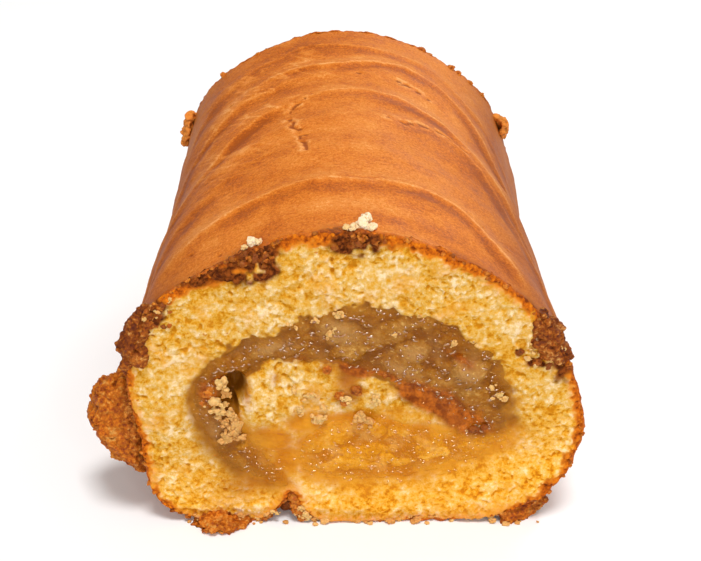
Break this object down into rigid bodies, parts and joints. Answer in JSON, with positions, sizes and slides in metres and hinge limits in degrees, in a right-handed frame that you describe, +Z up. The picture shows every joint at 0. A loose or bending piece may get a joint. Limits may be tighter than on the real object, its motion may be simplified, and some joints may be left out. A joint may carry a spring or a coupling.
{
  "type": "swiss roll cake",
  "caption": "Swiss roll cake: a browned sponge sheet rolled around a glossy apple filling, cut square at both ends, with crisp baked-on crust knobs at the rims.",
  "frame": {"origin": "centre of the flat base, half-way along the roll", "axes": "+Y along the roll from the front cut to the back cut, +Z up, +X to the right as seen from the front cut"},
  "size_m": [0.1221, 0.1424, 0.0846],
  "materials": {
    "sponge": "soft, open-pored and dry, browned on the outside",
    "apple_filling": "wet, lumpy and part see-through",
    "baked_crust": "dry, crisp and grainy"
  },
  "bodies": {
    "root": {"sponge": "sponge", "filling": "apple_filling", "crust_left": "baked_crust", "crust_upper_left": "baked_crust", "crust_right": "baked_crust", "crust_back_left": "baked_crust", "crust_back_right": "baked_crust", "crust_foot_left": "baked_crust", "crust_foot_right": "baked_crust"}
  },
  "joints": []
}
